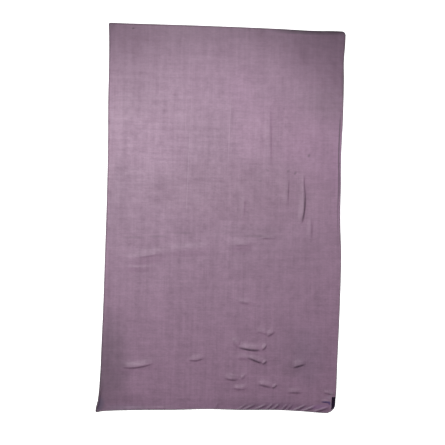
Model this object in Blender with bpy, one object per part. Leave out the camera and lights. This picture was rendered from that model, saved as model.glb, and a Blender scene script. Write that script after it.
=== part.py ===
# Silk scarf, laid flat: one rectangle of thin silk, a narrow turned hem on each of its four sides, and a
# care label at one corner. Metres, +Z up. +X runs across the scarf and +Y along its length, its underside
# rests on z = 0, and the middle of its outline is at the origin. Tables and sizes below are in millimetres.

import math
from collections import namedtuple

import bmesh
import bpy
import numpy as np
from mathutils.geometry import delaunay_2d_cdt

MM = 0.001

# The flat scarf, before its corners are pulled and its sides bow
SCARF_WIDTH = 1120
SCARF_LENGTH = 1800
SILK_WALL = 1.5
HEM_WIDTH = 7.0
HEM_HEIGHT = 2.6
SEAM_GAP = 0.3

# Care label: a short upright tape on the right hem, cut off by the rounded corner. Its inner edge leans a
# little; its outer one keeps this far in from the rim
LABEL_INNER_BOTTOM_X = 539
LABEL_INNER_TOP_X = 542
LABEL_RIM_MARGIN = 1.0
LABEL_BOTTOM = -881
LABEL_TOP = -825.5
LABEL_THICKNESS = 0.6
LABEL_ROWS = 8

# Spacing of the mesh
PLAIN_STEP = 45
CORNER_STEP = 12
CORNER_REACH = 85
PUCKER_STEP = 7
LATTICE_STEP = 90
ARC_STEPS = 5
CREST_STEPS = 12
FOLD_STEP = 15
PUCKER_FOLD_STEP = 10
POINT_CLEARANCE = 2.2
LATTICE_CLEARANCE = 28
ARC_HANDLE = 0.55

# Corners, counterclockwise from the bottom left: which side of X and Y they are on, how far each is pulled
# outward along X and along Y, and its radius
Corner = namedtuple("Corner", "side_x side_y pull_x pull_y radius")
CORNERS = (
    Corner(-1, -1, 3, 25, 10),
    Corner(1, -1, -2, 3, 46),
    Corner(1, 1, 7, -16, 19),
    Corner(-1, 1, -17, 0, 9),
)

# How far each side bows outward of the straight line between its corners, at shares of its length
Bow = namedtuple("Bow", "share outward")
BOTTOM_BOW = (
    Bow(0, 0), Bow(0.03, -6.5), Bow(0.06, -8.5), Bow(0.19, -12.8), Bow(0.35, -14.6), Bow(0.46, -18),
    Bow(0.60, -15), Bow(0.77, -15), Bow(0.86, -10), Bow(0.94, -3), Bow(1, 0),
)
RIGHT_BOW = (
    Bow(0, 0), Bow(0.035, 0.9), Bow(0.06, 3.7), Bow(0.085, 4.0), Bow(0.14, 4.9), Bow(0.24, 8.2),
    Bow(0.36, 9.6), Bow(0.42, 8.5), Bow(0.48, 1.7), Bow(0.53, -1.6), Bow(0.6, -2.3), Bow(0.66, -4.8),
    Bow(0.77, -1.4), Bow(0.87, -2), Bow(0.925, -4.7), Bow(0.965, -1.2), Bow(1, 0),
)
TOP_BOW = (
    Bow(0, 0), Bow(0.04, 0.5), Bow(0.13, -1.9), Bow(0.28, 0.8), Bow(0.45, 2.0), Bow(0.62, 2.2),
    Bow(0.77, 1.2), Bow(0.93, -0.2), Bow(1, 0),
)
LEFT_BOW = (
    Bow(0, 0), Bow(0.02, -2.6), Bow(0.04, -4.3), Bow(0.12, -8.3), Bow(0.2, -9.6), Bow(0.29, -14.6),
    Bow(0.4, -18.4), Bow(0.6, -19.6), Bow(0.73, -19.7), Bow(0.82, -18), Bow(0.91, -16), Bow(0.955, -12),
    Bow(0.97, -9), Bow(0.985, -2.8), Bow(1, 0),
)

# The four sides, each from its own corner to the next, with its bow and the stretch that is puckered
Side = namedtuple("Side", "name bow pucker_from pucker_to")
SIDES = (
    Side("hem_bottom", BOTTOM_BOW, 0.48, 0.97),
    Side("hem_right", RIGHT_BOW, 1, 1),
    Side("hem_top", TOP_BOW, 1, 1),
    Side("hem_left", LEFT_BOW, 1, 1),
)

# Half section of the turned hem: share of its width from the rim, share of its height
Rise = namedtuple("Rise", "width height")
HEM_TOP = (
    Rise(0, 0.35), Rise(0.08, 0.72), Rise(0.35, 1), Rise(0.70, 0.95), Rise(0.95, 0.70), Rise(1, 0.55),
)
HEM_FOOT = (Rise(1, 0), Rise(0.10, 0))

# Where the right hem rolls up thicker: share of the side, times its plain height
Roll = namedtuple("Roll", "share factor")
RIGHT_ROLL = (
    Roll(0, 1), Roll(0.45, 1), Roll(0.52, 1.6), Roll(0.72, 1.6), Roll(0.79, 1), Roll(1, 1),
)

# Creases of the cloth: the crest runs through three points, with a gentle flank on its left and a steep one
# on its right
Fold = namedtuple("Fold", "x0 y0 x1 y1 x2 y2 height gentle steep")
FOLDS = (
    Fold(-446, -706, -375, -708, -284, -682, 3.2, 31, 4),
    Fold(-134, -664, -102, -670, -54, -653, 2.3, 30, 4),
    Fold(-448, -212, -340, -186, -224, -163, 1.6, 34, 55),
    Fold(-410, -207, -352, -196, -300, -184, 0.7, 12, 6),
    Fold(-238, -165, -140, -149, -40, -144, 1.5, 32, 50),
    Fold(44, -123, 100, -125, 154, -123, 1.4, 28, 34),
    Fold(70, -124, 104, -124, 146, -124, 0.6, 12, 6),
    Fold(196, -90, 224, -89, 262, -90, 0.8, 16, 7),
    Fold(-436, -235, -366, -241, -278, -229, 0.5, 12, 30),
    Fold(95, -381, 120, -393, 156, -393, 1.2, 20, 9),
    Fold(188, -526, 212, -537, 238, -545, 0.9, 20, 8),
    Fold(232, -556, 252, -546, 273, -528, 1.6, 24, 7),
    Fold(80, -562, 90, -587, 107, -599, 1.6, 32, 16),
    Fold(97, -597, 160, -610, 218, -611, 3.1, 28, 5),
    Fold(212, -611, 222, -608, 229, -596, 2.3, 14, 4),
    Fold(142, -648, 186, -667, 224, -681, 2.9, 27, 5),
    Fold(92, -650, 124, -652, 160, -657, 1.3, 22, 14),
    Fold(214, -681, 226, -679, 237, -664, 2.0, 15, 4),
    Fold(354, -689, 385, -680, 420, -669, 2.7, 33, 4),
    Fold(38, -745, 76, -756, 111, -750, 2.9, 33, 5),
    Fold(78, -789, 112, -797, 149, -790, 2.4, 24, 5),
    Fold(196, -770, 234, -781, 270, -791, 2.9, 30, 6),
    Fold(262, -791, 275, -789, 288, -776, 1.4, 16, 5),
    Fold(330, -808, 368, -808, 410, -807, 2.0, 24, 5),
    Fold(494, -803, 520, -808, 550, -813, 2.2, 16, 4),
    Fold(490, -846, 518, -850, 544, -854, 2.0, 15, 4),
    Fold(232, 244, 231, 380, 223, 512, 1.1, 26, 7),
    Fold(311, 50, 313, 123, 315, 196, 1.0, 24, 6),
    Fold(377, -14, 391, 62, 387, 180, 2.1, 26, 5),
    Fold(425, -96, 426, -40, 424, 12, 0.9, 22, 7),
    Fold(107, -6, 110, 50, 113, 107, 0.8, 20, 8),
    Fold(-554, -908, -546, -868, -538, -792, 3.0, 11, 6),
    Fold(-528, -912, -332, -901, -130, -895, 1.2, 14, 5),
)

# Puckers along the bottom hem: foot on the rim line, run across and up the scarf, height of the ridge
Pucker = namedtuple("Pucker", "foot run rise height")
PUCKERS = (
    Pucker(-4, 16, 36, 0.8), Pucker(98, 50, 30, 1.0), Pucker(122, 68, 30, 1.3), Pucker(174, 68, 32, 1.4),
    Pucker(228, 46, 38, 1.3), Pucker(256, 46, 36, 1.4), Pucker(302, 36, 36, 1.1), Pucker(326, 34, 34, 1.0),
    Pucker(354, 74, 34, 1.5), Pucker(400, 74, 30, 1.6), Pucker(456, 76, 24, 1.6),
)
PUCKER_FOOT_Y = -896
PUCKER_GENTLE = 10
PUCKER_STEEP = 6

# Where a pucker's ridge starts, bends and ends, as shares of its run and rise from its foot
PUCKER_START = (-0.25, -0.3)
PUCKER_BEND = (0.45, 0.35)
PUCKER_TOP = (1, 1)

# Rows of mesh points beside a crest, as shares of its gentle and its steep flank
GENTLE_ROWS = (1, 0.6, 0.3)
STEEP_ROWS = (0.5, 1)

SILK_COLOUR = (0.25, 0.165, 0.226)
HEM_COLOUR = (0.22, 0.145, 0.2)
LABEL_COLOUR = (0.012, 0.006, 0.016)
SILK_ROUGHNESS = 0.45
LABEL_ROUGHNESS = 0.6
SMOOTH_ANGLE = math.radians(35)


def through_rows(rows, share):
    # Smooth value at a share of a side, on cubic curves through the rows of its table
    shares = np.array([row[0] for row in rows])
    values = np.array([row[1] for row in rows], dtype=float)
    slopes = np.gradient(values, shares)
    i = int(np.clip(np.searchsorted(shares, share) - 1, 0, len(rows) - 2))
    width = shares[i + 1] - shares[i]
    t = (share - shares[i]) / width
    start = (2 * t**3 - 3 * t**2 + 1) * values[i] + (t**3 - 2 * t**2 + t) * width * slopes[i]
    end = (3 * t**2 - 2 * t**3) * values[i + 1] + (t**3 - t**2) * width * slopes[i + 1]
    return start + end


def corner_point(index):
    corner = CORNERS[index % 4]
    x = corner.side_x * (SCARF_WIDTH / 2 + corner.pull_x)
    y = corner.side_y * (SCARF_LENGTH / 2 + corner.pull_y)
    return np.array((x, y), dtype=float)


def outward_of(index):
    # Unit vector out of a side; the sides run counterclockwise, so outward is on the right hand
    run = corner_point(index + 1) - corner_point(index)
    return np.array((run[1], -run[0])) / np.hypot(*run)


def inset_corner(index, inset):
    # Where the lines of the two sides that meet at a corner cross, once both are moved inward
    before, after = -outward_of(index - 1), -outward_of(index)
    return corner_point(index) + (before + after) * inset / (1 + before @ after)


def side_length(index):
    return np.hypot(*(corner_point(index + 1) - corner_point(index)))


def side_point(index, share, inset):
    start, end = corner_point(index), corner_point(index + 1)
    bow = through_rows(SIDES[index % 4].bow, share)
    return start + (end - start) * share + outward_of(index) * (bow - inset)


def arc_point(index, t, inset):
    # Point on the rounded corner, from the end of the side before it at t = 0 to its own side at t = 1
    radius = CORNERS[index % 4].radius
    a = side_point(index - 1, 1 - radius / side_length(index - 1), inset)
    b = side_point(index, radius / side_length(index), inset)
    tip = inset_corner(index, inset)
    handle_a, handle_b = a + (tip - a) * ARC_HANDLE, b + (tip - b) * ARC_HANDLE
    s = 1 - t
    return s**3 * a + 3 * s**2 * t * handle_a + 3 * s * t**2 * handle_b + t**3 * b


# A station names a place along a side: on the corner that it starts from, on the side itself, or on the
# corner that it ends in
Station = namedtuple("Station", "zone t")


def rim_point(index, station, inset):
    if station.zone == "from":
        return arc_point(index, station.t, inset)
    if station.zone == "to":
        return arc_point(index + 1, station.t, inset)
    return side_point(index, station.t, inset)


def side_stations(index):
    # Stations from the middle of one corner to the middle of the next, closer together near the corners and
    # along the puckers
    side, length = SIDES[index], side_length(index)
    half_arc = [i / (2 * ARC_STEPS) for i in range(ARC_STEPS + 1)]
    first = CORNERS[index].radius / length
    last = 1 - CORNERS[(index + 1) % 4].radius / length
    shares = []
    share = first
    while share < last:
        shares.append(share)
        near_corner = min(share, 1 - share) * length < CORNER_REACH
        puckered = side.pucker_from <= share < side.pucker_to
        step = PUCKER_STEP if puckered else CORNER_STEP if near_corner else PLAIN_STEP
        share += step / length
    shares = [value for value in shares[1:] if last - value > PUCKER_STEP / length / 2]
    from_corner = [Station("from", 0.5 + t) for t in half_arc]
    to_corner = [Station("to", t) for t in half_arc]
    return from_corner + [Station("along", value) for value in shares] + to_corner


def roll_factor(index, station):
    if SIDES[index].name != "hem_right" or station.zone != "along":
        return 1.0
    return float(np.interp(station.t, *zip(*RIGHT_ROLL)))


def all_folds():
    puckers = []
    for pucker in PUCKERS:
        crest = []
        for along, up in (PUCKER_START, PUCKER_BEND, PUCKER_TOP):
            crest += [pucker.foot + pucker.run * along, PUCKER_FOOT_Y + pucker.rise * up]
        puckers.append(Fold(*crest, pucker.height, PUCKER_GENTLE, PUCKER_STEEP))
    return list(FOLDS) + puckers


def crest_points(fold, steps):
    # Points on the curve that runs through a fold's start, middle and end
    start, middle, end = (np.array(fold[i:i + 2], dtype=float) for i in (0, 2, 4))
    control = 2 * middle - (start + end) / 2
    t = np.linspace(0, 1, steps + 1)[:, None]
    return (1 - t)**2 * start + 2 * t * (1 - t) * control + t**2 * end


def relief(points):
    # Height that the creases lift the cloth to, at each of an array of points
    points = np.asarray(points, dtype=float)
    heights = np.zeros(len(points))
    for fold in all_folds():
        crest = crest_points(fold, CREST_STEPS)
        run = np.diff(crest, axis=0)
        offset = points[:, None, :] - crest[None, :-1, :]
        share = np.clip((offset * run).sum(2) / (run * run).sum(1), 0, 1)
        gap = offset - share[..., None] * run
        distance = np.hypot(gap[..., 0], gap[..., 1])
        near = distance.argmin(1)
        rows = np.arange(len(points))
        side = run[near, 0] * offset[rows, near, 1] - run[near, 1] * offset[rows, near, 0]
        reach = np.where(side > 0, fold.gentle, fold.steep)
        across = np.clip(distance[rows, near] / reach, 0, 1)
        along = (near + share[rows, near]) / CREST_STEPS
        taper = (1 - np.abs(2 * along - 1)**3)**2
        heights += fold.height * taper * (1 - across**2)**2
    return heights


def fold_mesh_points(fold, step):
    # Rows of points along a fold, so that the mesh follows its crest and both flanks
    length = np.hypot(fold.x2 - fold.x0, fold.y2 - fold.y0)
    count = max(3, round(length / step))
    crest = crest_points(fold, count)
    tangent = np.gradient(crest, axis=0)
    left = np.stack((-tangent[:, 1], tangent[:, 0]), 1) / np.hypot(*tangent.T)[:, None]
    reaches = [fold.gentle * share for share in GENTLE_ROWS] + [0]
    reaches += [-fold.steep * share for share in STEEP_ROWS]
    points = [crest[0], crest[-1]]
    for reach in reaches:
        points += list(crest[1:-1] + left[1:-1] * reach)
    return points


def inside_loop(points, loop, clearance):
    # Which points lie inside a closed outline and clear of it
    a, b = loop, np.roll(loop, -1, axis=0)
    x, y = points[:, 0, None], points[:, 1, None]
    spans = (a[:, 1] > y) != (b[:, 1] > y)
    level = np.where(spans, b[:, 1] - a[:, 1], 1)
    crossings = spans & (x < a[:, 0] + (y - a[:, 1]) * (b[:, 0] - a[:, 0]) / level)
    run = b - a
    offset = points[:, None, :] - a[None]
    share = np.clip((offset * run).sum(2) / (run * run).sum(1), 0, 1)
    gap = offset - share[..., None] * run
    distance = np.hypot(gap[..., 0], gap[..., 1]).min(1)
    return (crossings.sum(1) % 2 == 1) & (distance > clearance)


def thinned(points, kept, clearance):
    # The points that are clear of those already kept and of each other
    chosen = list(kept)
    for point in points:
        if np.hypot(*(np.array(chosen) - point).T).min() > clearance:
            chosen.append(point)
    return chosen


def panel_loop():
    inset = HEM_WIDTH + SEAM_GAP
    loop = []
    for index in range(4):
        for station in side_stations(index)[:-1]:
            point = rim_point(index, station, inset)
            if not loop or np.hypot(*(point - loop[-1])) > SEAM_GAP:
                loop.append(point)
    return np.array(loop)


def panel_plan():
    # Outline and inner points of the panel, close together on the creases and wide apart between them
    loop = panel_loop()
    creases = []
    for fold in all_folds():
        step = PUCKER_FOLD_STEP if fold.gentle == PUCKER_GENTLE else FOLD_STEP
        creases += fold_mesh_points(fold, step)
    creases = np.array(creases)
    creases = creases[inside_loop(creases, loop, POINT_CLEARANCE)]
    low, high = loop.min(0), loop.max(0)
    xs = np.arange(low[0] + LATTICE_STEP / 2, high[0], LATTICE_STEP)
    ys = np.arange(low[1] + LATTICE_STEP / 2, high[1], LATTICE_STEP)
    lattice = np.array([(x, y) for y in ys for x in xs])
    lattice = lattice[inside_loop(lattice, loop, LATTICE_CLEARANCE)]
    points = thinned(creases, list(loop), POINT_CLEARANCE)
    return thinned(lattice, points, LATTICE_CLEARANCE), len(loop)


def material(name, colour, roughness):
    made = bpy.data.materials.new(name)
    made.use_nodes = True
    shader = made.node_tree.nodes["Principled BSDF"]
    shader.inputs["Base Color"].default_value = (*colour, 1)
    shader.inputs["Roughness"].default_value = roughness
    shader.inputs["Metallic"].default_value = 0.0
    return made


def finish_object(name, mesh_data, colour, roughness):
    # Closed mesh, faces outward, moved so that the outline's middle is at the origin
    bmesh.ops.recalc_face_normals(mesh_data, faces=mesh_data.faces)
    mesh = bpy.data.meshes.new(name)
    mesh_data.to_mesh(mesh)
    mesh_data.free()
    mesh.shade_smooth()
    mesh.set_sharp_from_angle(angle=SMOOTH_ANGLE)
    made = bpy.data.objects.new(name, mesh)
    bpy.context.scene.collection.objects.link(made)
    made.data.materials.append(material(name + "_finish", colour, roughness))
    rim = np.array([rim_point(i, station, 0) for i in range(4) for station in side_stations(i)])
    middle = (rim.min(0) + rim.max(0)) / 2 * MM
    made.location = (-middle[0], -middle[1], 0)
    return made


def make_panel():
    # One silk wall: the same plan below and above, lifted by the creases, joined along its edge
    plan, loop_count = panel_plan()
    loop = list(range(loop_count))
    coords, _, faces, *_ = delaunay_2d_cdt([tuple(point) for point in plan], [], [loop], 1, 0.0001)
    flat = np.array([tuple(point) for point in coords])
    lift = relief(flat)
    mesh_data = bmesh.new()
    lower = [mesh_data.verts.new((x * MM, y * MM, z * MM)) for (x, y), z in zip(flat, lift)]
    upper = [mesh_data.verts.new((x * MM, y * MM, (z + SILK_WALL) * MM)) for (x, y), z in zip(flat, lift)]
    for face in faces:
        mesh_data.faces.new([upper[i] for i in face])
        mesh_data.faces.new([lower[i] for i in reversed(face)])
    directed = {(face[i], face[(i + 1) % 3]) for face in faces for i in range(3)}
    for a, b in directed:
        if (b, a) not in directed:
            mesh_data.faces.new((lower[a], lower[b], upper[b], upper[a]))
    return finish_object("panel", mesh_data, SILK_COLOUR, SILK_ROUGHNESS)


def loft(rings):
    # Closed body through rings of points, with a flat face at each end
    mesh_data = bmesh.new()
    rows = [[mesh_data.verts.new(tuple(value * MM for value in point)) for point in ring] for ring in rings]
    count = len(rows[0])
    for row, following in zip(rows, rows[1:]):
        for i in range(count):
            j = (i + 1) % count
            mesh_data.faces.new((row[i], row[j], following[j], following[i]))
    mesh_data.faces.new(rows[0])
    mesh_data.faces.new(reversed(rows[-1]))
    return mesh_data


def make_hem(index):
    stations = side_stations(index)
    rings = []
    for number, station in enumerate(stations):
        section = [(row.width, row.height * roll_factor(index, station)) for row in HEM_TOP]
        section += [(row.width, row.height) for row in HEM_FOOT]
        flat = np.array([rim_point(index, station, width * HEM_WIDTH) for width, _ in section])
        if number in (0, len(stations) - 1):
            # Cut back by half a seam at the mitre
            near = stations[1] if number == 0 else stations[-2]
            back = rim_point(index, near, 0) - flat[0]
            flat += back / np.hypot(*back) * SEAM_GAP / 2
        lift = relief(flat)
        heights = [z + height * HEM_HEIGHT for z, (_, height) in zip(lift, section)]
        rings.append([(x, y, z) for (x, y), z in zip(flat, heights)])
    return finish_object(SIDES[index].name, loft(rings), HEM_COLOUR, SILK_ROUGHNESS)


def cloth_top(inset):
    # Height of the top of the hem, or of the panel beyond it, at a distance in from the rim
    if inset > HEM_WIDTH:
        return SILK_WALL
    return float(np.interp(inset / HEM_WIDTH, *zip(*HEM_TOP))) * HEM_HEIGHT


def make_label():
    # A tape made from the surface under it, moved out by the seam gap; each row of it is level across
    side = 1
    stations = side_stations(side)[:ARC_STEPS + 4]
    on_hem = [row.width * HEM_WIDTH for row in HEM_TOP]
    insets = [LABEL_RIM_MARGIN] + [inset for inset in on_hem if LABEL_RIM_MARGIN < inset < HEM_WIDTH]
    insets.append(HEM_WIDTH + SEAM_GAP)
    rings = []
    for y in np.linspace(LABEL_BOTTOM, LABEL_TOP, LABEL_ROWS):
        flat = []
        for inset in insets:
            line = np.array([rim_point(side, station, inset) for station in stations])
            flat.append((np.interp(y, line[:, 1], line[:, 0]), y))
        inner_x = np.interp(y, (LABEL_BOTTOM, LABEL_TOP), (LABEL_INNER_BOTTOM_X, LABEL_INNER_TOP_X))
        flat.append((inner_x, y))
        under = relief(flat) + [cloth_top(inset) + SEAM_GAP for inset in insets + [HEM_WIDTH + 1]]
        lower = [(*point, z) for point, z in zip(flat, under)]
        rings.append(lower + [(x, y, z + LABEL_THICKNESS) for x, y, z in reversed(lower)])
    return finish_object("care_label", loft(rings), LABEL_COLOUR, LABEL_ROUGHNESS)


def main():
    for old in list(bpy.data.objects):
        bpy.data.objects.remove(old, do_unlink=True)
    make_panel()
    for index in range(4):
        make_hem(index)
    make_label()


main()
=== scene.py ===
import math
from collections import namedtuple

import bpy
import numpy as np
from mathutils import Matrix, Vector
from mathutils.geometry import delaunay_2d_cdt


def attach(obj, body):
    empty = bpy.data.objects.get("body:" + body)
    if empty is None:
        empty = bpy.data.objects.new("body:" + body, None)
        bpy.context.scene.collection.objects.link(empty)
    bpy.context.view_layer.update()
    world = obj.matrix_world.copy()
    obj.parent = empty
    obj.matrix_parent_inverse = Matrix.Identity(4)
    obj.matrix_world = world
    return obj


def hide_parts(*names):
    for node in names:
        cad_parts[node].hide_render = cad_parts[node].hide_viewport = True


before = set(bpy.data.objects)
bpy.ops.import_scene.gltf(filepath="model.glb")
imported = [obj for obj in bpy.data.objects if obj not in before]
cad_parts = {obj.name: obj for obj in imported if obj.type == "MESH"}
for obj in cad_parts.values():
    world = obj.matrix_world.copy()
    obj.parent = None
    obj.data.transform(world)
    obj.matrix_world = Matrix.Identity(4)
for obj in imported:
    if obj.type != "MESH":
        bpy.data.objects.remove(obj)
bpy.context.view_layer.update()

mm = 0.001  # the tables below are in millimetres, and the meshes in metres

# What gives the cloth its outline: corners counterclockwise from the bottom left, pulled outward from a plain
# rectangle, and sides that bow outward of the straight line between them
cornerRow = namedtuple("cornerRow", "sideX sideY pullX pullY radius")
bowRow = namedtuple("bowRow", "share outward")
cloth = {
    "width": 1120,
    "length": 1800,
    "wall": 1.5,          # top of the silk over the floor, where it lies flat
    "thickness": 0.8,     # of the silk's own shell
    "hemWidth": 7.0,
    "hemHeight": 2.6,
    "hemTuck": 1.8,       # how far the silk runs in under the hem
    "arcHandle": 0.55,
    "arcSteps": 10,
    "coarseStep": 10,     # between rim points where the outline is only measured
    "corners": [
        cornerRow(-1, -1, 3, 25, 10),
        cornerRow(1, -1, -2, 3, 46),
        cornerRow(1, 1, 7, -16, 19),
        cornerRow(-1, 1, -17, 0, 9),
    ],
    "sides": ["hem_bottom", "hem_right", "hem_top", "hem_left"],
    "bows": [
        [bowRow(0, 0), bowRow(0.03, -6.5), bowRow(0.06, -8.5), bowRow(0.19, -12.8), bowRow(0.35, -14.6),
         bowRow(0.46, -18), bowRow(0.60, -15), bowRow(0.77, -15), bowRow(0.86, -10), bowRow(0.94, -3),
         bowRow(1, 0)],
        [bowRow(0, 0), bowRow(0.035, 0.9), bowRow(0.06, 3.7), bowRow(0.085, 4.0), bowRow(0.14, 4.9),
         bowRow(0.24, 8.2), bowRow(0.36, 9.6), bowRow(0.42, 8.5), bowRow(0.48, 1.7), bowRow(0.53, -1.6),
         bowRow(0.6, -2.3), bowRow(0.66, -4.8), bowRow(0.77, -1.4), bowRow(0.87, -2), bowRow(0.925, -4.7),
         bowRow(0.965, -1.2), bowRow(1, 0)],
        [bowRow(0, 0), bowRow(0.04, 0.5), bowRow(0.13, -1.9), bowRow(0.28, 0.8), bowRow(0.45, 2.0),
         bowRow(0.62, 2.2), bowRow(0.77, 1.2), bowRow(0.93, -0.2), bowRow(1, 0)],
        [bowRow(0, 0), bowRow(0.02, -2.6), bowRow(0.04, -4.3), bowRow(0.12, -8.3), bowRow(0.2, -9.6),
         bowRow(0.29, -14.6), bowRow(0.4, -18.4), bowRow(0.6, -19.6), bowRow(0.73, -19.7), bowRow(0.82, -18),
         bowRow(0.91, -16), bowRow(0.955, -12), bowRow(0.97, -9), bowRow(0.985, -2.8), bowRow(1, 0)],
    ],
}


def throughRows(rows, shares):
    # smooth values on cubic curves through a table's rows
    knots = np.array([row.share for row in rows])
    values = np.array([row.outward for row in rows], dtype=float)
    slopes = np.gradient(values, knots)
    i = np.clip(np.searchsorted(knots, shares) - 1, 0, len(rows) - 2)
    width = knots[i + 1] - knots[i]
    t = (shares - knots[i]) / width
    start = (2 * t**3 - 3 * t**2 + 1) * values[i] + (t**3 - 2 * t**2 + t) * width * slopes[i]
    return start + (3 * t**2 - 2 * t**3) * values[i + 1] + (t**3 - t**2) * width * slopes[i + 1]


def cornerPoint(index):
    corner = cloth["corners"][index % 4]
    x = corner.sideX * (cloth["width"] / 2 + corner.pullX)
    y = corner.sideY * (cloth["length"] / 2 + corner.pullY)
    return np.array((x, y), dtype=float)


def outwardOf(index):
    run = cornerPoint(index + 1) - cornerPoint(index)
    return np.array((run[1], -run[0])) / np.hypot(*run)


def sideLength(index):
    return np.hypot(*(cornerPoint(index + 1) - cornerPoint(index)))


def sidePoints(index, shares, inset):
    shares = np.atleast_1d(shares)[:, None]
    start, end = cornerPoint(index), cornerPoint(index + 1)
    bow = throughRows(cloth["bows"][index % 4], shares)
    return start + (end - start) * shares + outwardOf(index) * (bow - inset)


def arcPoints(index, steps, inset):
    # round a corner, from the side before it to its own side
    radius = cloth["corners"][index % 4].radius
    a = sidePoints(index - 1, 1 - radius / sideLength(index - 1), inset)
    b = sidePoints(index, radius / sideLength(index), inset)
    before, after = -outwardOf(index - 1), -outwardOf(index)
    tip = cornerPoint(index) + (before + after) * inset / (1 + before @ after)
    handleA = a + (tip - a) * cloth["arcHandle"]
    handleB = b + (tip - b) * cloth["arcHandle"]
    t = np.asarray(steps)[:, None]
    s = 1 - t
    return s**3 * a + 3 * s**2 * t * handleA + 3 * s * t**2 * handleB + t**3 * b


def rimPoints(index, step, inset):
    # one side, from the middle of the corner that it starts at to the middle of the next
    first = cloth["corners"][index].radius / sideLength(index)
    last = 1 - cloth["corners"][(index + 1) % 4].radius / sideLength(index)
    count = max(2, round((last - first) * sideLength(index) / step))
    half = np.linspace(0, 0.5, cloth["arcSteps"] + 1)
    along = sidePoints(index, np.linspace(first, last, count + 1)[1:-1], inset)
    return np.concatenate((arcPoints(index, 0.5 + half, inset), along, arcPoints(index + 1, half, inset)))


outlineRim = np.concatenate([rimPoints(i, cloth["coarseStep"], 0) for i in range(4)])
middle = (outlineRim.min(0) + outlineRim.max(0)) / 2  # goes to the origin, as in the frame


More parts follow.
